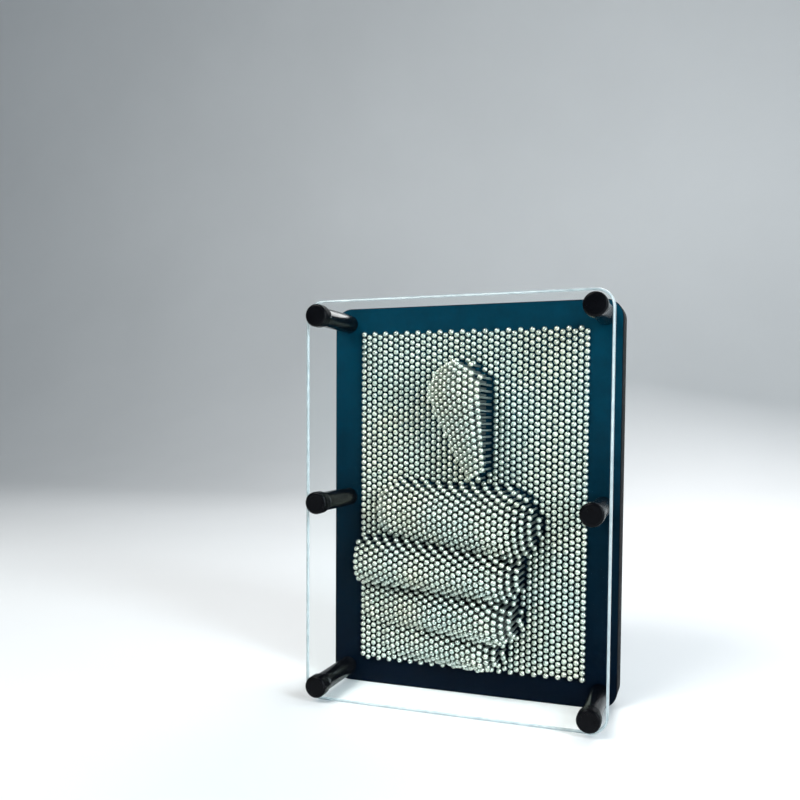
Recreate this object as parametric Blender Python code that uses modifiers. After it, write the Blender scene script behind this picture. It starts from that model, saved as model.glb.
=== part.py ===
"""Pin art impression toy: a clear window on six spacer posts in front of a
perforated frame, with a field of sliding dome-headed pins that keeps the
relief of whatever is pressed into it from behind.

Metres, +Z up, +X to the right, front towards -Y. The toy stands on the
bottom edges of its window and frame at Z = 0. The field of 40 by 54 pins is
split into banks of 8 by 9 pins, and each bank slides along Y on its own.
"""

import math

import bmesh
import bpy
from mathutils import Matrix, Vector

# ---------------------------------------------------------------- dimensions
CLEARANCE = 0.0003

TOY_WIDTH = 0.135
TOY_HEIGHT = 0.180
CORNER_RADIUS = 0.008
CORNER_SEGMENTS = 6

WINDOW_THICKNESS = 0.003
WINDOW_GAP = 0.031
BOARD_THICKNESS = 0.0025
FRAME_DEPTH = 0.014
RIM_OPENING_MARGIN = 0.0008

COLUMN_PITCH = 0.00269
ROW_PITCH = 0.0029
FIELD_COLUMNS = 40
FIELD_ROWS = 54
BANKS_ACROSS = 5
BANKS_DOWN = 6
PIN_LENGTH = 0.046
HEAD_HEIGHT = 0.0014
HEAD_OVERHANG = 0.00075
RELIEF_CELLS_X = 3
RELIEF_CELLS_Z = 4

POST_RADIUS = 0.00425
CAP_RADIUS = 0.005
CAP_REACH = 0.0055
CAP_ROUNDING = 0.0008
ROD_RADIUS = 0.002
BORE_RADIUS = 0.0023
BORE_DEPTH = 0.0038
POST_INSET = 0.0073
ROUND_STEPS = 16

# ------------------------------------------------------------- derived sizes
PIN_TRAVEL = WINDOW_GAP - HEAD_HEIGHT - 2 * CLEARANCE
BANK_WIDTH = COLUMN_PITCH * FIELD_COLUMNS / BANKS_ACROSS
BANK_HEIGHT = ROW_PITCH * FIELD_ROWS / BANKS_DOWN
FIELD_WIDTH = COLUMN_PITCH * FIELD_COLUMNS
FIELD_HEIGHT = ROW_PITCH * (FIELD_ROWS + 0.5)
FIELD_CENTRE_Z = TOY_HEIGHT / 2

FRONT_REACH = CAP_REACH + WINDOW_THICKNESS + WINDOW_GAP
TOTAL_DEPTH = FRONT_REACH - CLEARANCE + PIN_LENGTH
BOARD_FACE_Y = FRONT_REACH - TOTAL_DEPTH / 2
WINDOW_BACK_Y = BOARD_FACE_Y - WINDOW_GAP
WINDOW_FRONT_Y = WINDOW_BACK_Y - WINDOW_THICKNESS
FRAME_BACK_Y = BOARD_FACE_Y + FRAME_DEPTH

# The hand that made the relief: a fist with its thumb up, pressed in from
# behind until the highest pins stood at the relief's limit. Each part of it is
# a rounded ridge along a line from start to end, both (across, up) from the
# field's centre. It has a half-width and a crest height at each end. A small
# edge power gives it steep sides, and lean is how much its crest rises for
# each metre to the right.
RELIEF_LIMIT = 0.024
HAND = {
    "thumb": {
        "start": (0.004, 0.017),
        "end": (-0.0035, 0.049),
        "half_widths": (0.007, 0.0148),
        "heights": (0.012, 0.021),
        "edge_power": 0.15,
        "lean": 0.9,
    },
    "index_finger": {
        "start": (-0.031, -0.005),
        "end": (0.018, -0.0095),
        "half_widths": (0.0135, 0.0165),
        "heights": (0.009, 0.025),
        "edge_power": 0.45,
        "lean": 0.0,
    },
    "middle_finger": {
        "start": (-0.054, -0.0295),
        "end": (0.0155, -0.0315),
        "half_widths": (0.0105, 0.0126),
        "heights": (0.0095, 0.0245),
        "edge_power": 0.4,
        "lean": 0.0,
    },
    "ring_finger": {
        "start": (-0.042, -0.050),
        "end": (0.0145, -0.0515),
        "half_widths": (0.0095, 0.0115),
        "heights": (0.0025, 0.024),
        "edge_power": 0.4,
        "lean": 0.0,
    },
    "little_finger": {
        "start": (-0.033, -0.066),
        "end": (0.008, -0.067),
        "half_widths": (0.0085, 0.0103),
        "heights": (0.003, 0.016),
        "edge_power": 0.5,
        "lean": 0.0,
    },
}

# ----------------------------------------------------------------- materials
MATERIALS = {
    "clear_acrylic": ((0.80, 0.88, 0.90, 1.0), 0.05, 0.0),
    "dark_board": ((0.006, 0.022, 0.032, 1.0), 0.45, 0.0),
    "black_plastic": ((0.008, 0.008, 0.009, 1.0), 0.40, 0.0),
    "bright_steel": ((0.62, 0.63, 0.64, 1.0), 0.30, 1.0),
    "nickel_pins": ((0.74, 0.78, 0.76, 1.0), 0.28, 0.9),
}


def clear_scene():
    """Remove every object of the open scene, so the script can be run again."""
    for thing in list(bpy.data.objects):
        bpy.data.objects.remove(thing, do_unlink=True)


def new_collection(name):
    collection = bpy.data.collections.new(name)
    bpy.context.scene.collection.children.link(collection)
    return collection


def make_material(name):
    """A Principled material with the named colour, roughness and metallic."""
    colour, roughness, metallic = MATERIALS[name]
    material = bpy.data.materials.new(name)
    material.use_nodes = True
    shader = material.node_tree.nodes["Principled BSDF"]
    shader.inputs["Base Color"].default_value = colour
    shader.inputs["Roughness"].default_value = roughness
    shader.inputs["Metallic"].default_value = metallic
    material.diffuse_color = colour
    return material


def add_object(name, mesh, collection, material=None, location=(0, 0, 0)):
    thing = bpy.data.objects.new(name, mesh)
    thing.location = location
    collection.objects.link(thing)
    if material:
        mesh.materials.append(material)
    return thing


def mesh_from(form, name):
    mesh = bpy.data.meshes.new(name)
    form.to_mesh(mesh)
    form.free()
    return mesh


def post_places():
    """Names and (x, z) places of the six posts, top row first."""
    reach_x = TOY_WIDTH / 2 - POST_INSET
    reach_z = TOY_HEIGHT / 2 - POST_INSET
    for height, up in (("top", reach_z), ("middle", 0.0), ("bottom", -reach_z)):
        for side, across in (("left", -reach_x), ("right", reach_x)):
            yield f"{height}_{side}", across, FIELD_CENTRE_Z + up


def bank_places():
    """Row, column and (x, z) centre of each pin bank, top left first."""
    for row in range(BANKS_DOWN):
        for column in range(BANKS_ACROSS):
            x = (column - (BANKS_ACROSS - 1) / 2) * BANK_WIDTH
            z = FIELD_CENTRE_Z - (row - (BANKS_DOWN - 1) / 2) * BANK_HEIGHT
            yield row + 1, column + 1, x, z


# -------------------------------------------------------------------- relief
def ridge_height(x, z, ridge):
    """Height of one part of the hand over (x, z), or 0 beside it."""
    start = Vector(ridge["start"])
    axis = Vector(ridge["end"]) - start
    offset = Vector((x, z)) - start
    along = max(0.0, min(1.0, offset.dot(axis) / axis.length_squared))
    aside = offset - along * axis
    first, last = ridge["half_widths"]
    half_width = first + along * (last - first)
    if aside.length >= half_width:
        return 0.0
    low, high = ridge["heights"]
    crest = max(0.0, low + along * (high - low) + ridge["lean"] * aside.x)
    return crest * (1.0 - (aside.length / half_width) ** 2) ** ridge["edge_power"]


def pin_raise(x, z):
    """How far the hand has pushed forward the pin at (x, z)."""
    up = z - FIELD_CENTRE_Z
    return min(RELIEF_LIMIT, max(ridge_height(x, up, part) for part in HAND.values()))


# -------------------------------------------------------------------- plates
def rounded_block(width, depth, height, radius):
    """A block centred at the origin whose four edges along Y are rounded."""
    form = bmesh.new()
    bmesh.ops.create_cube(form, size=1.0)
    bmesh.ops.scale(form, vec=(width, depth, height), verts=form.verts)
    corners = [
        edge
        for edge in form.edges
        if abs(edge.verts[0].co.y - edge.verts[1].co.y) > depth / 2
    ]
    bmesh.ops.bevel(
        form,
        geom=corners,
        offset=radius,
        segments=CORNER_SEGMENTS,
        profile=0.5,
        affect="EDGES",
    )
    return form


def plate(name, front_y, depth, collection, material):
    """A rounded plate of the toy's outline whose front face is at front_y."""
    mesh = mesh_from(rounded_block(TOY_WIDTH, depth, TOY_HEIGHT, CORNER_RADIUS), name)
    place = (0.0, front_y + depth / 2, FIELD_CENTRE_Z)
    return add_object(name, mesh, collection, material, place)


def add_cutter(name, form, cutters):
    cutter = add_object(name, mesh_from(form, name), cutters)
    cutter.hide_render = True
    cutter.display_type = "WIRE"
    return cutter


def screw_hole_cutter(cutters):
    """Six long rods, one through each post's place."""
    form = bmesh.new()
    turn = Matrix.Rotation(math.pi / 2, 4, "X")
    for _, x, z in post_places():
        bmesh.ops.create_cone(
            form,
            cap_ends=True,
            segments=ROUND_STEPS,
            radius1=BORE_RADIUS,
            radius2=BORE_RADIUS,
            depth=3 * TOTAL_DEPTH,
            matrix=Matrix.Translation((x, 0.0, z)) @ turn,
        )
    return add_cutter("screw_hole_cutter", form, cutters)


def bank_opening_cutter(cutters):
    """One block for each bank, a running clearance wider than its shanks."""
    form = bmesh.new()
    width = BANK_WIDTH - 2 * HEAD_OVERHANG + CLEARANCE
    height = BANK_HEIGHT - 2 * HEAD_OVERHANG + CLEARANCE
    for _, _, x, z in bank_places():
        size = Matrix.Diagonal((width, 3 * TOTAL_DEPTH, height, 1.0))
        bmesh.ops.create_cube(
            form, size=1.0, matrix=Matrix.Translation((x, 0.0, z)) @ size
        )
    return add_cutter("bank_opening_cutter", form, cutters)


def rim_opening_cutter(cutters):
    """The room between the two boards that the pin shanks cross."""
    form = rounded_block(
        FIELD_WIDTH + 2 * RIM_OPENING_MARGIN,
        3 * TOTAL_DEPTH,
        FIELD_HEIGHT + 2 * RIM_OPENING_MARGIN,
        RIM_OPENING_MARGIN,
    )
    bmesh.ops.translate(form, vec=(0.0, 0.0, FIELD_CENTRE_Z), verts=form.verts)
    return add_cutter("rim_opening_cutter", form, cutters)


def cut(thing, *cutters):
    for cutter in cutters:
        modifier = thing.modifiers.new(cutter.name, "BOOLEAN")
        modifier.operation = "DIFFERENCE"
        modifier.solver = "EXACT"
        modifier.object = cutter


# -------------------------------------------------------------- turned pieces
def turned(name, profile, base_y, x, z, collection, material, forwards=True):
    """A piece turned about the Y direction from (radius, height) points.

    The profile runs down the outer side. Heights grow from base_y towards
    the front, or towards the back if forwards is False.
    """
    mesh = bpy.data.meshes.new(name)
    points = [(radius, 0.0, height) for radius, height in profile]
    edges = [(i, i + 1) for i in range(len(points) - 1)]
    if profile[0][0] > 0.0 and profile[-1][0] > 0.0:
        edges.append((len(points) - 1, 0))
    mesh.from_pydata(points, edges, [])
    thing = add_object(name, mesh, collection, material, (x, base_y, z))
    thing.rotation_euler.x = math.pi / 2 if forwards else -math.pi / 2
    spin = thing.modifiers.new("turning", "SCREW")
    spin.steps = ROUND_STEPS
    spin.render_steps = ROUND_STEPS
    spin.use_merge_vertices = True
    spin.merge_threshold = 0.00001
    spin.use_smooth_shade = False
    return thing


def cap_profile():
    """A screw cap with a rounded rim and a blind bore, its mouth at height 0."""
    top = CAP_REACH - CLEARANCE
    rounding = [
        (
            CAP_RADIUS - CAP_ROUNDING * (1 - math.sin(angle)),
            top - CAP_ROUNDING * (1 - math.cos(angle)),
        )
        for angle in (0.0, math.pi / 4, math.pi / 2)
    ]
    bore = [(BORE_RADIUS, 0.0), (BORE_RADIUS, BORE_DEPTH), (0.0, BORE_DEPTH)]
    return [(0.0, top)] + rounding + [(CAP_RADIUS, 0.0)] + bore


def tube_profile(length):
    return [
        (POST_RADIUS, length),
        (POST_RADIUS, 0.0),
        (BORE_RADIUS, 0.0),
        (BORE_RADIUS, length),
    ]


def rod_profile(length):
    return [(0.0, length), (ROD_RADIUS, length), (ROD_RADIUS, 0.0), (0.0, 0.0)]


# ----------------------------------------------------------------- pin banks
def spaced(half_head, half_shank, cells):
    """Grid lines: the head's edge, then the shanks' span in equal cells."""
    steps = [half_shank * (2 * i / cells - 1) for i in range(cells + 1)]
    return [-half_head] + steps + [half_head]


def bank_form(x, z):
    """One bank of pins as a solid: its heads' relief, extruded back to the tails.

    The wide front layer is the heads, and the narrower bundle behind it is
    the shanks, which pass through the boards' openings.
    """
    half_x = (BANK_WIDTH - CLEARANCE) / 2
    half_z = (BANK_HEIGHT - CLEARANCE) / 2
    shank_x = BANK_WIDTH / 2 - HEAD_OVERHANG - CLEARANCE / 2
    shank_z = BANK_HEIGHT / 2 - HEAD_OVERHANG - CLEARANCE / 2
    lines_x = spaced(half_x, shank_x, RELIEF_CELLS_X)
    lines_z = spaced(half_z, shank_z, RELIEF_CELLS_Z)
    form = bmesh.new()
    bmesh.ops.create_grid(
        form, x_segments=len(lines_x) - 1, y_segments=len(lines_z) - 1, size=0.5
    )
    for vertex in form.verts:
        across = lines_x[round((vertex.co.x + 0.5) * (len(lines_x) - 1))]
        up = lines_z[round((vertex.co.y + 0.5) * (len(lines_z) - 1))]
        forward = CLEARANCE + pin_raise(x + across, z + up)
        vertex.co = (across, -forward - HEAD_HEIGHT, up)
    for length, within in ((HEAD_HEIGHT, False), (PIN_LENGTH, True)):
        faces = list(form.faces)
        if within:
            faces = [face for face in underside if is_shank(face, shank_x, shank_z)]
        pushed = bmesh.ops.extrude_face_region(form, geom=faces)["geom"]
        moved = [item for item in pushed if isinstance(item, bmesh.types.BMVert)]
        underside = [item for item in pushed if isinstance(item, bmesh.types.BMFace)]
        bmesh.ops.translate(form, vec=(0.0, length, 0.0), verts=moved)
        if within:
            bmesh.ops.delete(form, geom=faces, context="FACES_ONLY")
    bmesh.ops.dissolve_limit(
        form, angle_limit=0.002, verts=form.verts, edges=form.edges
    )
    bmesh.ops.recalc_face_normals(form, faces=form.faces)
    return form


def is_shank(face, shank_x, shank_z):
    middle = face.calc_center_median()
    return abs(middle.x) < shank_x and abs(middle.z) < shank_z


def build_banks(collection, material):
    for row, column, x, z in bank_places():
        name = f"pin_bank_r{row}_c{column}"
        mesh = mesh_from(bank_form(x, z), name)
        add_object(name, mesh, collection, material, (x, BOARD_FACE_Y, z))


# ------------------------------------------------------------------ assembly
def build_plates(collection, cutters, materials):
    holes = screw_hole_cutter(cutters)
    openings = bank_opening_cutter(cutters)
    room = rim_opening_cutter(cutters)
    window = plate(
        "front_window",
        WINDOW_FRONT_Y,
        WINDOW_THICKNESS,
        collection,
        materials["clear_acrylic"],
    )
    front_board = plate(
        "front_pin_board",
        BOARD_FACE_Y,
        BOARD_THICKNESS,
        collection,
        materials["dark_board"],
    )
    rim = plate(
        "frame_rim",
        BOARD_FACE_Y + BOARD_THICKNESS + CLEARANCE,
        FRAME_DEPTH - 2 * BOARD_THICKNESS - 2 * CLEARANCE,
        collection,
        materials["black_plastic"],
    )
    rear_board = plate(
        "rear_pin_board",
        FRAME_BACK_Y - BOARD_THICKNESS,
        BOARD_THICKNESS,
        collection,
        materials["dark_board"],
    )
    cut(window, holes)
    cut(front_board, openings, holes)
    cut(rim, room, holes)
    cut(rear_board, openings, holes)


def build_fasteners(collection, materials):
    """At each place: front cap, spacer post, tie rod and rear cap."""
    black = materials["black_plastic"]
    rod_front = WINDOW_FRONT_Y - BORE_DEPTH
    rod_back = FRAME_BACK_Y + BORE_DEPTH
    rod = rod_profile(rod_back - rod_front - 2 * CLEARANCE)
    post = tube_profile(WINDOW_GAP - 2 * CLEARANCE)
    for place, x, z in post_places():
        turned(
            f"front_cap_{place}",
            cap_profile(),
            WINDOW_FRONT_Y - CLEARANCE,
            x,
            z,
            collection,
            black,
        )
        turned(
            f"spacer_post_{place}", post, BOARD_FACE_Y - CLEARANCE, x, z, collection, black
        )
        turned(
            f"tie_rod_{place}",
            rod,
            rod_back - CLEARANCE,
            x,
            z,
            collection,
            materials["bright_steel"],
        )
        turned(
            f"rear_cap_{place}",
            cap_profile(),
            FRAME_BACK_Y + CLEARANCE,
            x,
            z,
            collection,
            black,
            forwards=False,
        )


def main():
    clear_scene()
    toy = new_collection("pin_art_impression_toy")
    cutters = new_collection("cutters")
    materials = {name: make_material(name) for name in MATERIALS}
    build_plates(toy, cutters, materials)
    build_fasteners(toy, materials)
    build_banks(toy, materials["nickel_pins"])


main()
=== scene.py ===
import math
import random

import bmesh
import bpy
from mathutils import Matrix, Vector
from mathutils.geometry import delaunay_2d_cdt


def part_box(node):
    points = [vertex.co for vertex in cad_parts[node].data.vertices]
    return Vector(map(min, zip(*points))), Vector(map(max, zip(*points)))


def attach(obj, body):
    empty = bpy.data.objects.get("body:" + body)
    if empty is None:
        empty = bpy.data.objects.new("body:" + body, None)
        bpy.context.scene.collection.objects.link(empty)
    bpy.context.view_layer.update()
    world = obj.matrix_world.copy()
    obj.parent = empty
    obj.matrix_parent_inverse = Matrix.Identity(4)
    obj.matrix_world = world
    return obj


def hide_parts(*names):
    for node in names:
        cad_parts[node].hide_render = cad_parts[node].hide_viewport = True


# The looks of the pin art impression toy, in metres in the frame's own axes:
# +Z up, +X to the right, the window towards -Y.

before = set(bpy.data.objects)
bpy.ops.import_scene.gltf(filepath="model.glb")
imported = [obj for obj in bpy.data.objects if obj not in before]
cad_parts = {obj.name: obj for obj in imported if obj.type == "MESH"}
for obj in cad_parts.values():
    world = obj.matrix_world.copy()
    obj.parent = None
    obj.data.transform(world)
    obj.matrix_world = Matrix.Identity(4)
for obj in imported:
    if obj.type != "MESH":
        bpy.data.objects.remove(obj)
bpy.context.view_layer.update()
rng = random.Random(7)

# ------------------------------------------------------------------ the frame
WINDOW_LOW, WINDOW_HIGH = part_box("front_window")
BOARD_LOW, BOARD_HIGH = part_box("front_pin_board")
RIM_LOW, RIM_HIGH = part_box("frame_rim")
REAR_LOW, REAR_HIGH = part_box("rear_pin_board")
HALF_WIDTH = (WINDOW_HIGH.x - WINDOW_LOW.x) / 2
HALF_HEIGHT = (WINDOW_HIGH.z - WINDOW_LOW.z) / 2
CENTRE_Z = (WINDOW_HIGH.z + WINDOW_LOW.z) / 2
BOARD_FACE_Y = BOARD_LOW.y
PLACES = [
    f"{height}_{side}"
    for height in ("top", "middle", "bottom")
    for side in ("left", "right")
]

# --------------------------------------------------------- sizes of the looks
CORNER_RADIUS = 0.008
CORNER_STEPS = 14
COLUMN_PITCH = 0.00269
ROW_PITCH = 0.0029
FIELD_COLUMNS = 40
FIELD_ROWS = 54
BANK_COLUMNS = 8
BANK_ROWS = 9
CLEARANCE = 0.0003
PIN_LENGTH = 0.046
HEAD_HEIGHT = 0.0014
HEAD_RADIUS = 0.00128
SHANK_RADIUS = 0.00050
HOLE_RADIUS = 0.00068
HOLE_STEPS = 8
BORE_RADIUS = 0.0023
TURNED_STEPS = 56
WINDOW_ROUNDING = 0.0010
BOARD_ROUNDING = 0.0003
REAR_ROUNDING = 0.0006
SCREW_HOLE_ROUNDING = 0.0002
FIELD_MARGIN = 0.0008
FIELD_CORNER = 0.0012
CAP_ROUNDING = 0.0010
CAP_BORE_DEPTH = 0.0038
CAP_DISH = 0.00012
CAP_DISH_EDGE = 0.0001
CAP_DISH_SHARE = 0.62
CAP_CHAMFER = 0.0002
POST_CHAMFER = 0.0003
DOME_ANGLES = (24, 46, 66, 82)
HEAD_BAND = 0.00022
HEAD_LIP = 0.00012
HEAD_CHAMFER = 0.00010
TAIL_TAPER = 0.0004
TAIL_SHARE = 0.55
LIFT_JITTER = 0.00012
HEAD_STEPS = 14
SHANK_RINGS = 3
FLAT_NORMAL = 0.9999

RELIEF_LIMIT = 0.024
HAND = {
    "thumb": {
        "start": (0.004, 0.017),
        "end": (-0.0035, 0.049),
        "half_widths": (0.007, 0.0148),
        "heights": (0.012, 0.021),
        "edge_power": 0.15,
        "lean": 0.9,
    },
    "index_finger": {
        "start": (-0.031, -0.005),
        "end": (0.018, -0.0095),
        "half_widths": (0.0135, 0.0165),
        "heights": (0.009, 0.025),
        "edge_power": 0.45,
        "lean": 0.0,
    },
    "middle_finger": {
        "start": (-0.054, -0.0295),
        "end": (0.0155, -0.0315),
        "half_widths": (0.0105, 0.0126),
        "heights": (0.0095, 0.0245),
        "edge_power": 0.4,
        "lean": 0.0,
    },
    "ring_finger": {
        "start": (-0.042, -0.050),
        "end": (0.0145, -0.0515),
        "half_widths": (0.0095, 0.0115),
        "heights": (0.0025, 0.024),
        "edge_power": 0.4,
        "lean": 0.0,
    },
    "little_finger": {
        "start": (-0.033, -0.066),
        "end": (0.008, -0.067),
        "half_widths": (0.0085, 0.0103),
        "heights": (0.003, 0.016),
        "edge_power": 0.5,
        "lean": 0.0,
    },
}


def ridge_height(x, z, ridge):
    """Height of one part of the hand over (x, z), or 0 beside it."""
    start = Vector(ridge["start"])
    axis = Vector(ridge["end"]) - start
    offset = Vector((x, z)) - start
    along = max(0.0, min(1.0, offset.dot(axis) / axis.length_squared))
    aside = offset - along * axis
    first, last = ridge["half_widths"]
    half_width = first + along * (last - first)
    if aside.length >= half_width:
        return 0.0
    low, high = ridge["heights"]
    crest = max(0.0, low + along * (high - low) + ridge["lean"] * aside.x)
    return crest * (1.0 - (aside.length / half_width) ** 2) ** ridge["edge_power"]


def pin_raise(x, z):
    """How far the hand has pushed forward the pin at (x, z)."""
    up = z - CENTRE_Z
    return min(RELIEF_LIMIT, max(ridge_height(x, up, part) for part in HAND.values()))


# ------------------------------------------------------------ material helpers
def new_material(name):
    """A material, its node tree and its Principled shader."""
    material = bpy.data.materials.new(name)
    material.use_nodes = True
    tree = material.node_tree
    return material, tree, tree.nodes["Principled BSDF"]


def add_node(tree, kind, inputs=None, **settings):
    """A new node, with settings of its own and values on its inputs."""
    node = tree.nodes.new(kind)
    for key, value in settings.items():
        setattr(node, key, value)
    for key, value in (inputs or {}).items():
        node.inputs[key].default_value = value
    return node


def noise(tree, scale, detail=4.0, stretch=(1, 1, 1), rough=0.5):
    """Noise over the object's own coordinates, about 0.5 on average."""
    place = add_node(tree, "ShaderNodeTexCoord")
    mapping = add_node(tree, "ShaderNodeMapping")
    mapping.inputs["Scale"].default_value = stretch
    tree.links.new(place.outputs["Object"], mapping.inputs["Vector"])
    texture = add_node(
        tree,
        "ShaderNodeTexNoise",
        {"Scale": scale, "Detail": detail, "Roughness": rough},
    )
    tree.links.new(mapping.outputs["Vector"], texture.inputs["Vector"])
    return texture.outputs["Fac"]


def spread(tree, source, low, high, start=0.3, end=0.7):
    """source, mapped from start..end to low..high."""
    node = add_node(
        tree,
        "ShaderNodeMapRange",
        {"From Min": start, "From Max": end, "To Min": low, "To Max": high},
    )
    tree.links.new(source, node.inputs["Value"])
    return node.outputs["Result"]


def ramp(tree, source, stops):
    """The colour at source on a ramp of (position, colour) stops."""
    node = add_node(tree, "ShaderNodeValToRGB")
    elements = node.color_ramp.elements
    while len(elements) < len(stops):
        elements.new(0.5)
    for element, (position, colour) in zip(elements, stops):
        element.position = position
        element.color = (*colour, 1.0)
    tree.links.new(source, node.inputs["Fac"])
    return node.outputs["Color"]


def multiply(tree, first, second):
    """first times second, colour by colour."""
    node = add_node(tree, "ShaderNodeMix", data_type="RGBA", blend_type="MULTIPLY")
    node.inputs["Factor"].default_value = 1.0
    tree.links.new(first, node.inputs["A"])
    tree.links.new(second, node.inputs["B"])
    return node.outputs["Result"]


def bump(tree, shader, height, strength, distance):
    """Give the shader's surface the relief of height."""
    node = add_node(
        tree, "ShaderNodeBump", {"Strength": strength, "Distance": distance}
    )
    tree.links.new(height, node.inputs["Height"])
    tree.links.new(node.outputs["Normal"], shader.inputs["Normal"])


# ------------------------------------------------------------------ materials
def nickel():
    """Plated steel pins: bright, a little worn, each a slightly different tone."""
    material, tree, shader = new_material("nickel_plate")
    tone = ramp(
        tree,
        noise(tree, 330.0, 2.0),
        [
            (0.30, (0.49, 0.55, 0.52)),
            (0.55, (0.62, 0.665, 0.625)),
            (0.75, (0.73, 0.75, 0.69)),
        ],
    )
    drift = ramp(
        tree,
        noise(tree, 34.0, 3.0),
        [(0.35, (0.92, 1.0, 0.98)), (0.65, (1.0, 0.98, 0.88))],
    )
    tree.links.new(multiply(tree, tone, drift), shader.inputs["Base Color"])
    shader.inputs["Metallic"].default_value = 0.85
    tree.links.new(
        spread(tree, noise(tree, 900.0, 3.0), 0.22, 0.38), shader.inputs["Roughness"]
    )
    bump(tree, shader, noise(tree, 2600.0, 2.0), 0.25, 0.00004)
    return material


def shank_steel_painted_shade():
    """The pins' shanks: drawn steel wire, rougher than the plated heads and darker as
    painted shade.
    """
    material, tree, shader = new_material("shank_steel_painted_shade")
    # Painted shade: the shanks' dark colour stands in for the shade they sit in between
    # the pins.
    tone = ramp(
        tree,
        noise(tree, 420.0, 2.0),
        [(0.3, (0.24, 0.28, 0.27)), (0.7, (0.38, 0.42, 0.40))],
    )
    tree.links.new(tone, shader.inputs["Base Color"])
    shader.inputs["Metallic"].default_value = 0.8
    tree.links.new(
        spread(tree, noise(tree, 900.0, 3.0), 0.34, 0.50), shader.inputs["Roughness"]
    )
    return material


def board_face():
    """Dark teal moulded board with a painted reflection: lighter teal at the top, going
    to navy at the bottom.
    """
    material, tree, shader = new_material("board_face")
    place = add_node(tree, "ShaderNodeTexCoord")
    parts = add_node(tree, "ShaderNodeSeparateXYZ")
    tree.links.new(place.outputs["Object"], parts.inputs["Vector"])
    foot, top = CENTRE_Z - HALF_HEIGHT, CENTRE_Z + HALF_HEIGHT
    up = spread(tree, parts.outputs["Z"], 0.0, 1.0, foot, top)
    # Painted reflection: the colour gets lighter and more teal with height, standing in
    # for reflected light.
    painted_reflection_fade = ramp(
        tree,
        up,
        [
            (0.05, (0.0, 0.0028, 0.0085)),
            (0.45, (0.0, 0.0088, 0.0175)),
            (0.95, (0.0, 0.034, 0.060)),
        ],
    )
    mottle = ramp(
        tree,
        noise(tree, 170.0, 6.0, rough=0.62),
        [(0.3, (0.72, 0.72, 0.72)), (0.7, (1.0, 1.0, 1.0))],
    )
    tree.links.new(multiply(tree, painted_reflection_fade, mottle), shader.inputs["Base Color"])
    tree.links.new(
        spread(tree, noise(tree, 60.0, 5.0), 0.38, 0.56), shader.inputs["Roughness"]
    )
    shader.inputs["Specular IOR Level"].default_value = 0.04
    bump(tree, shader, noise(tree, 240.0, 3.0), 0.12, 0.00006)
    return material


def black_plastic(name, low, high, grain, shine):
    """Moulded black plastic, with roughness from low to high."""
    material, tree, shader = new_material(name)
    tone = ramp(
        tree,
        noise(tree, 90.0, 5.0),
        [(0.3, (0.0008, 0.0009, 0.0015)), (0.7, (0.0026, 0.0029, 0.0040))],
    )
    tree.links.new(tone, shader.inputs["Base Color"])
    tree.links.new(
        spread(tree, noise(tree, 240.0, 4.0), low, high), shader.inputs["Roughness"]
    )
    shader.inputs["Specular IOR Level"].default_value = shine
    bump(tree, shader, noise(tree, 1800.0, 3.0), grain, 0.00005)
    return material


def acrylic():
    """Clear cast acrylic, without a mirror image where it is seen head on."""
    material, tree, shader = new_material("clear_acrylic")
    tint = ramp(
        tree,
        noise(tree, 18.0, 3.0),
        [(0.3, (0.955, 0.985, 0.985)), (0.7, (0.985, 0.995, 0.995))],
    )
    tree.links.new(tint, shader.inputs["Base Color"])
    shader.inputs["Transmission Weight"].default_value = 1.0
    shader.inputs["IOR"].default_value = 1.49
    shader.inputs["Roughness"].default_value = 0.0
    shader.inputs["Specular Tint"].default_value = (0.0, 0.0, 0.0, 1.0)
    return material


def acrylic_edge():
    """The plate's sawn and polished edge, which gathers light."""
    material, tree, shader = new_material("acrylic_edge")
    streaks = ramp(
        tree,
        noise(tree, 260.0, 4.0, stretch=(1, 0.12, 1)),
        [(0.3, (0.36, 0.43, 0.45)), (0.7, (0.50, 0.57, 0.59))],
    )
    tree.links.new(streaks, shader.inputs["Base Color"])
    shader.inputs["Transmission Weight"].default_value = 0.25
    shader.inputs["IOR"].default_value = 1.49
    shader.inputs["Roughness"].default_value = 0.14
    bump(tree, shader, noise(tree, 900.0, 3.0, stretch=(1, 0.1, 1)), 0.05, 0.00005)
    return material


def brushed_steel():
    """The tie rods: steel with fine streaks along it."""
    material, tree, shader = new_material("brushed_steel")
    tone = ramp(
        tree,
        noise(tree, 500.0, 4.0, stretch=(1, 0.08, 1)),
        [(0.3, (0.50, 0.51, 0.52)), (0.7, (0.68, 0.69, 0.70))],
    )
    tree.links.new(tone, shader.inputs["Base Color"])
    shader.inputs["Metallic"].default_value = 1.0
    tree.links.new(
        spread(tree, noise(tree, 700.0, 4.0, stretch=(1, 0.08, 1)), 0.22, 0.4),
        shader.inputs["Roughness"],
    )
    return material


NICKEL = nickel()
SHANK_STEEL_PAINTED_SHADE = shank_steel_painted_shade()
BOARD_FACE = board_face()
BLACK = black_plastic("black_plastic", 0.30, 0.46, 0.25, 0.13)
RIM_BLACK = black_plastic("rim_black_plastic", 0.58, 0.72, 0.25, 0.06)
CAP_BLACK = black_plastic("cap_black_plastic", 0.16, 0.26, 0.10, 0.07)
POST_BLACK = black_plastic("post_black_plastic", 0.16, 0.26, 0.08, 0.20)
ACRYLIC = acrylic()
ACRYLIC_EDGE = acrylic_edge()
STEEL = brushed_steel()


# --------------------------------------------------------------- mesh helpers
def add_piece(name, mesh, materials, body, nodes=(), crease=35.0):
    """Shade, place and register one visible piece."""
    mesh.set_sharp_from_angle(angle=math.radians(crease))
    for polygon in mesh.polygons:
        polygon.use_smooth = abs(polygon.normal.y) < FLAT_NORMAL
    for material in materials:
        mesh.materials.append(material)
    piece = bpy.data.objects.new(name, mesh)
    bpy.context.scene.collection.objects.link(piece)
    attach(piece, body)
    if nodes:
        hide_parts(*nodes)
    return piece


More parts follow.
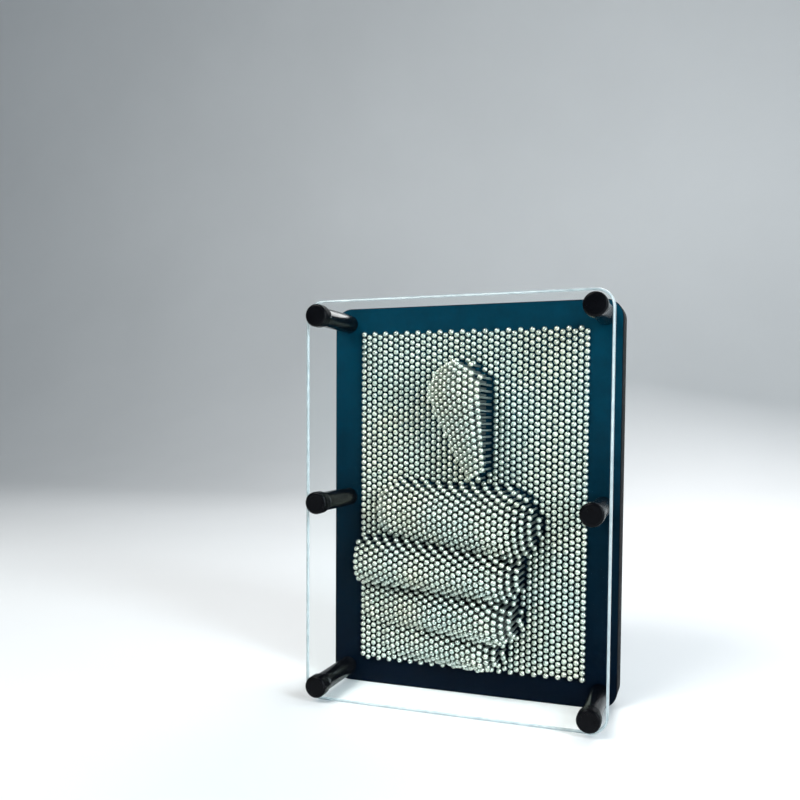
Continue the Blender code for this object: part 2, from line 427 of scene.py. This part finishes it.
def rounded_outline(half_x, half_z, radius, steps=CORNER_STEPS):
    """Outline of a rounded rectangle, as a function of how far it is drawn in."""

    def outline(inset):
        points = []
        for index, (across, up) in enumerate(((1, 1), (-1, 1), (-1, -1), (1, -1))):
            for step in range(steps + 1):
                angle = math.pi / 2 * (index + step / steps)
                reach = radius - inset
                points.append(
                    (
                        across * (half_x - radius) + reach * math.cos(angle),
                        CENTRE_Z + up * (half_z - radius) + reach * math.sin(angle),
                    )
                )
        return points

    return outline


def round_hole(x, z, radius, steps):
    """A hole's outline, as a function of how far its edge is drawn back."""

    def outline(inset):
        return [
            (
                x + (radius + inset) * math.cos(2 * math.pi * i / steps),
                z + (radius + inset) * math.sin(2 * math.pi * i / steps),
            )
            for i in range(steps)
        ]

    return outline


def edge_levels(front, back, rounding, steps):
    """(inset, y) down an edge that is rounded at the front and at the back."""
    if rounding <= 0.0:
        return [(0.0, front), (0.0, back)]
    turns = [math.pi / 2 * step / steps for step in range(steps + 1)]
    curve = [
        (rounding * (1 - math.sin(a)), rounding * (1 - math.cos(a))) for a in turns
    ]
    ahead = [(inset, front + depth) for inset, depth in curve]
    behind = [(inset, back - depth) for inset, depth in reversed(curve)]
    return ahead + behind


def plate_mesh(name, front, back, outer, holes, rounding):
    """A plate from y = front to back, whose holes are (outline, rounding) pairs.

    Faces of the two sides take material 0 and all the edges material 1.
    """
    loops = [(outer, edge_levels(front, back, rounding, 4))]
    loops += [(hole, edge_levels(front, back, soft, 3)) for hole, soft in holes]
    flat = []
    edges = []
    owner = []
    vertices = []
    rings = []
    for index, (outline, levels) in enumerate(loops):
        ring = []
        for inset, y in levels:
            points = outline(inset)
            ring.append(range(len(vertices), len(vertices) + len(points)))
            vertices += [(x, y, z) for x, z in points]
        rings.append(ring)
        face_points = outline(levels[0][0])
        base = len(flat)
        count = len(face_points)
        flat += [Vector((x * 1000, z * 1000)) for x, z in face_points]
        owner += [index] * count
        edges += [(base + i, base + (i + 1) % count) for i in range(count)]
    near = [i for ring in rings for i in ring[0]]
    far = [i for ring in rings for i in ring[-1]]
    _, _, triangles, origin, _, _ = delaunay_2d_cdt(flat, edges, [], 0, 1e-6)
    source = [group[0] for group in origin]
    faces = []
    side_faces = 0
    for triangle in triangles:
        corners = [source[i] for i in triangle]
        owners = {owner[i] for i in corners}
        if len(owners) == 1 and owners != {0}:
            continue
        faces.append([near[i] for i in corners])
        faces.append([far[i] for i in reversed(corners)])
        side_faces += 2
    for ring in rings:
        for upper, lower in zip(ring, ring[1:]):
            count = len(upper)
            for i in range(count):
                j = (i + 1) % count
                faces.append([upper[i], upper[j], lower[j], lower[i]])
    mesh = bpy.data.meshes.new(name)
    mesh.from_pydata(vertices, [], faces)
    kinds = [0] * side_faces + [1] * (len(faces) - side_faces)
    mesh.polygons.foreach_set("material_index", kinds)
    form = bmesh.new()
    form.from_mesh(mesh)
    bmesh.ops.recalc_face_normals(form, faces=form.faces)
    form.to_mesh(mesh)
    form.free()
    return mesh


def turned_mesh(name, profile, x, z, closed=False):
    """A piece turned about the Y direction at (x, z) from (radius, y) points."""
    steps = TURNED_STEPS
    vertices = []
    rings = []
    for radius, y in profile:
        if radius <= 0.0:
            rings.append([len(vertices)] * steps)
            vertices.append((x, y, z))
            continue
        rings.append(list(range(len(vertices), len(vertices) + steps)))
        for i in range(steps):
            angle = 2 * math.pi * i / steps
            vertices.append(
                (x + radius * math.cos(angle), y, z + radius * math.sin(angle))
            )
    pairs = list(zip(rings, rings[1:]))
    if closed:
        pairs.append((rings[-1], rings[0]))
    faces = []
    for first, second in pairs:
        for i in range(steps):
            j = (i + 1) % steps
            corners = [first[i], first[j], second[j], second[i]]
            faces.append(list(dict.fromkeys(corners)))
    mesh = bpy.data.meshes.new(name)
    mesh.from_pydata(vertices, [], faces)
    form = bmesh.new()
    form.from_mesh(mesh)
    bmesh.ops.recalc_face_normals(form, faces=form.faces)
    form.to_mesh(mesh)
    form.free()
    return mesh


# --------------------------------------------------------------------- plates
def post_centre(place):
    """(x, z) of the post at one of PLACES."""
    low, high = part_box(f"spacer_post_{place}")
    return (low.x + high.x) / 2, (low.z + high.z) / 2


def screw_holes(steps=32, soft=SCREW_HOLE_ROUNDING):
    """The six holes of the tie rods, each with how far its edge is rounded."""
    return [
        (round_hole(*post_centre(place), BORE_RADIUS, steps), soft) for place in PLACES
    ]


def pin_places():
    """(column, row, x, z) of each pin; neighbouring columns are staggered."""
    for column in range(FIELD_COLUMNS):
        stagger = ROW_PITCH / 4 if column % 2 == 0 else -ROW_PITCH / 4
        x = (column - (FIELD_COLUMNS - 1) / 2) * COLUMN_PITCH
        for row in range(FIELD_ROWS):
            z = CENTRE_Z + ((FIELD_ROWS - 1) / 2 - row) * ROW_PITCH + stagger
            yield column, row, x, z


OUTLINE = rounded_outline(HALF_WIDTH, HALF_HEIGHT, CORNER_RADIUS)

window = add_piece(
    "window",
    plate_mesh(
        "window",
        WINDOW_LOW.y,
        WINDOW_HIGH.y,
        OUTLINE,
        screw_holes(),
        WINDOW_ROUNDING,
    ),
    [ACRYLIC, ACRYLIC_EDGE],
    "frame",
    ["front_window"],
)
window.visible_shadow = False

PIN_HOLES = [
    (round_hole(x, z, HOLE_RADIUS, HOLE_STEPS), 0.0) for _, _, x, z in pin_places()
]
add_piece(
    "front_board",
    plate_mesh(
        "front_board",
        BOARD_LOW.y,
        BOARD_HIGH.y,
        OUTLINE,
        PIN_HOLES + screw_holes(16, 0.0),
        BOARD_ROUNDING,
    ),
    [BOARD_FACE, RIM_BLACK],
    "frame",
    ["front_pin_board"],
)
add_piece(
    "rear_board",
    plate_mesh(
        "rear_board",
        REAR_LOW.y,
        REAR_HIGH.y,
        OUTLINE,
        PIN_HOLES + screw_holes(16, 0.0),
        REAR_ROUNDING,
    ),
    [BLACK, RIM_BLACK],
    "frame",
    ["rear_pin_board"],
)
FIELD_HALF_X = COLUMN_PITCH * FIELD_COLUMNS / 2 + FIELD_MARGIN
FIELD_HALF_Z = ROW_PITCH * (FIELD_ROWS + 0.5) / 2 + FIELD_MARGIN
FIELD_OPENING = rounded_outline(FIELD_HALF_X, FIELD_HALF_Z, FIELD_CORNER, 4)
add_piece(
    "rim",
    plate_mesh(
        "rim",
        RIM_LOW.y,
        RIM_HIGH.y,
        OUTLINE,
        [(FIELD_OPENING, 0.0)] + screw_holes(16, 0.0),
        BOARD_ROUNDING,
    ),
    [RIM_BLACK, RIM_BLACK],
    "frame",
    ["frame_rim"],
)


# ------------------------------------------------------------------ fasteners
def quarter_round(radius, y, soft, outward, steps=5):
    """Points of a quarter round from a flat end at y to a side at radius."""
    turns = [math.pi / 2 * step / steps for step in range(steps + 1)]
    return [
        (radius - soft * (1 - math.sin(a)), y + outward * soft * (1 - math.cos(a)))
        for a in turns
    ]


def build_cap(name, forwards):
    """A round screw cap with a soft edge, hollow where the tie rod's end sits."""
    low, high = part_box(name)
    x, z = (low.x + high.x) / 2, (low.z + high.z) / 2
    radius = (high.x - low.x) / 2
    end, mouth = (low.y, high.y) if forwards else (high.y, low.y)
    inward = 1 if forwards else -1
    profile = [
        (0.0, end + inward * CAP_DISH),
        (radius * CAP_DISH_SHARE, end + inward * CAP_DISH_EDGE),
    ]
    profile += quarter_round(radius, end, CAP_ROUNDING, inward)
    profile += [
        (radius, mouth - inward * CAP_CHAMFER),
        (radius - CAP_CHAMFER, mouth),
        (BORE_RADIUS, mouth),
        (BORE_RADIUS, mouth - inward * CAP_BORE_DEPTH),
        (0.0, mouth - inward * CAP_BORE_DEPTH),
    ]
    add_piece(
        ("front" if forwards else "rear") + "_screw_cap_" + name.split("_cap_")[1],
        turned_mesh(name, profile, x, z),
        [CAP_BLACK],
        "frame",
        [name],
    )


def build_post(place):
    """A spacer tube between the window and the board."""
    name = f"spacer_post_{place}"
    low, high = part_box(name)
    x, z = post_centre(place)
    radius = (high.x - low.x) / 2
    profile = [
        (BORE_RADIUS, low.y),
        (radius - POST_CHAMFER, low.y),
        (radius, low.y + POST_CHAMFER),
        (radius, high.y - POST_CHAMFER),
        (radius - POST_CHAMFER, high.y),
        (BORE_RADIUS, high.y),
    ]
    add_piece(
        f"spacer_{place}",
        turned_mesh(name, profile, x, z, closed=True),
        [POST_BLACK],
        "frame",
        [name],
    )


for place in PLACES:
    build_cap(f"front_cap_{place}", True)
    build_cap(f"rear_cap_{place}", False)
    build_post(place)
    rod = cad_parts[f"tie_rod_{place}"]
    rod.data.materials.clear()
    rod.data.materials.append(STEEL)


# ----------------------------------------------------------------------- pins
def pin_profile():
    """(radius, y) from the dome's top to the tail, the head's underside at 0."""
    crown = HEAD_HEIGHT - HEAD_BAND
    dome = [
        (HEAD_RADIUS * math.sin(a), -HEAD_BAND - crown * math.cos(a))
        for a in map(math.radians, DOME_ANGLES)
    ]
    return (
        [(0.0, -HEAD_HEIGHT)]
        + dome
        + [
            (HEAD_RADIUS, -HEAD_LIP),
            (HEAD_RADIUS - HEAD_CHAMFER, 0.0),
            (SHANK_RADIUS, 0.0),
            (SHANK_RADIUS, PIN_LENGTH - TAIL_TAPER),
            (SHANK_RADIUS * TAIL_SHARE, PIN_LENGTH),
            (0.0, PIN_LENGTH),
        ]
    )


def pin_parts(steps):
    """One pin's vertices and faces, about the origin."""
    vertices = []
    rings = []
    for radius, y in pin_profile():
        if radius <= 0.0:
            rings.append([len(vertices)] * steps)
            vertices.append((0.0, y, 0.0))
            continue
        rings.append(list(range(len(vertices), len(vertices) + steps)))
        for i in range(steps):
            angle = 2 * math.pi * i / steps
            vertices.append((radius * math.cos(angle), y, radius * math.sin(angle)))
    faces = []
    for first, second in zip(rings, rings[1:]):
        for i in range(steps):
            j = (i + 1) % steps
            faces.append(
                list(dict.fromkeys([first[i], first[j], second[j], second[i]]))
            )
    return vertices, faces


def build_pins():
    """Every pin at its height in the relief, gathered into its bank's piece."""
    shape, faces = pin_parts(HEAD_STEPS)
    first_shank_face = len(faces) - SHANK_RINGS * HEAD_STEPS
    banks = {}
    for column, row, x, z in pin_places():
        key = (row // BANK_ROWS + 1, column // BANK_COLUMNS + 1)
        lift = pin_raise(x, z) + rng.uniform(0.0, LIFT_JITTER)
        turn = rng.uniform(0.0, 2 * math.pi)
        banks.setdefault(key, []).append((x, z, lift, turn))
    for (row, column), pins in sorted(banks.items()):
        vertices = []
        polygons = []
        for x, z, lift, turn in pins:
            base = len(vertices)
            y = BOARD_FACE_Y - CLEARANCE - lift
            c, s = math.cos(turn), math.sin(turn)
            vertices += [
                (x + c * px - s * pz, y + py, z + s * px + c * pz)
                for px, py, pz in shape
            ]
            polygons += [[base + i for i in face] for face in faces]
        name = f"pins_r{row}_c{column}"
        mesh = bpy.data.meshes.new(name)
        mesh.from_pydata(vertices, [], polygons)
        form = bmesh.new()
        form.from_mesh(mesh)
        bmesh.ops.recalc_face_normals(form, faces=form.faces)
        form.to_mesh(mesh)
        form.free()
        for polygon in mesh.polygons:
            polygon.material_index = int(polygon.index % len(faces) >= first_shank_face)
        body = f"pin_bank_r{row}_c{column}"
        add_piece(
            name, mesh, [NICKEL, SHANK_STEEL_PAINTED_SHADE], body, [body], crease=50.0
        )


build_pins()


# ---------------------------------------------------------------------- stage
SWEEP_FRONT = -3.0
SWEEP_BACK = 0.9
SWEEP_RADIUS = 0.6
SWEEP_HEIGHT = 4.0
SWEEP_HALF_WIDTH = 4.0
SWEEP_STEPS = 12
FLOOR_DROP = 0.0002


def floor_material():
    """Pale matte paper."""
    material, tree, shader = new_material("pale_paper")
    tone = ramp(
        tree,
        noise(tree, 3.0, 3.0),
        [(0.3, (0.80, 0.81, 0.82)), (0.7, (0.84, 0.85, 0.86))],
    )
    tree.links.new(tone, shader.inputs["Base Color"])
    shader.inputs["Roughness"].default_value = 0.7
    return material


def build_stage():
    """A pale sweep: a floor that curves up into a backdrop."""
    path = [(SWEEP_FRONT, 0.0), (SWEEP_BACK, 0.0)]
    for step in range(1, SWEEP_STEPS + 1):
        angle = math.pi / 2 * step / SWEEP_STEPS
        across = SWEEP_BACK + SWEEP_RADIUS * math.sin(angle)
        path.append((across, SWEEP_RADIUS * (1 - math.cos(angle))))
    path.append((SWEEP_BACK + SWEEP_RADIUS, SWEEP_HEIGHT))
    sides = (-SWEEP_HALF_WIDTH, SWEEP_HALF_WIDTH)
    vertices = [(x, y, z - FLOOR_DROP) for y, z in path for x in sides]
    faces = [(2 * i, 2 * i + 1, 2 * i + 3, 2 * i + 2) for i in range(len(path) - 1)]
    mesh = bpy.data.meshes.new("studio_sweep")
    mesh.from_pydata(vertices, [], faces)
    for polygon in mesh.polygons:
        polygon.use_smooth = True
    mesh.materials.append(floor_material())
    sweep = bpy.data.objects.new("studio_sweep", mesh)
    bpy.context.scene.collection.objects.link(sweep)


def add_light(name, location, target, size, power, colour=(1, 1, 1), tall=None):
    """A rectangular light aimed at target, size across and tall, or size, high."""
    data = bpy.data.lights.new(name, "AREA")
    data.energy = power
    data.color = colour
    data.shape = "RECTANGLE"
    data.size = size
    data.size_y = tall or size
    lamp = bpy.data.objects.new(name, data)
    lamp.location = location
    direction = Vector(target) - Vector(location)
    lamp.rotation_euler = direction.to_track_quat("-Z", "Y").to_euler()
    bpy.context.scene.collection.objects.link(lamp)
    return lamp


def build_lights():
    """Soft light from the front left, the right and behind, and a faint sky."""
    middle = (0.0, 0.0, CENTRE_Z)
    add_light("key", (-0.45, -0.75, 0.95), middle, 0.6, 11.5, (1.0, 0.99, 0.95))
    add_light("side", (0.75, -0.45, 0.37), middle, 0.25, 9.0, (0.82, 0.94, 1.0), 0.62)
    back = add_light("back", (0.25, 0.85, 0.75), middle, 0.7, 8.0)
    back.visible_transmission = False
    world = bpy.data.worlds.new("studio")
    world.use_nodes = True
    sky = world.node_tree.nodes["Background"]
    sky.inputs["Color"].default_value = (0.82, 0.92, 1.0, 1.0)
    sky.inputs["Strength"].default_value = 0.22
    bpy.context.scene.world = world


def build_camera():
    """A little above the toy's middle and to its right, turned to the left."""
    data = bpy.data.cameras.new("camera")
    data.sensor_width = 36.0
    data.lens = 37.98
    data.shift_y = 0.075
    camera = bpy.data.objects.new("camera", data)
    yaw, pitch, roll = -0.3506, 0.0470, 0.0061
    turn = (
        Matrix.Rotation(roll, 3, "Z")
        @ Matrix.Rotation(pitch, 3, "X")
        @ Matrix(((1, 0, 0), (0, 0, -1), (0, 1, 0)))
        @ Matrix.Rotation(yaw, 3, "Z")
    )
    right, down, ahead = turn[0], turn[1], turn[2]
    place = Matrix(
        (
            (right.x, -down.x, -ahead.x, 0.1029),
            (right.y, -down.y, -ahead.y, -0.3793),
            (right.z, -down.z, -ahead.z, 0.1269),
            (0, 0, 0, 1),
        )
    )
    camera.matrix_world = place
    bpy.context.scene.collection.objects.link(camera)
    bpy.context.scene.camera = camera


bpy.context.scene.view_settings.view_transform = "Standard"
build_stage()
build_lights()
build_camera()
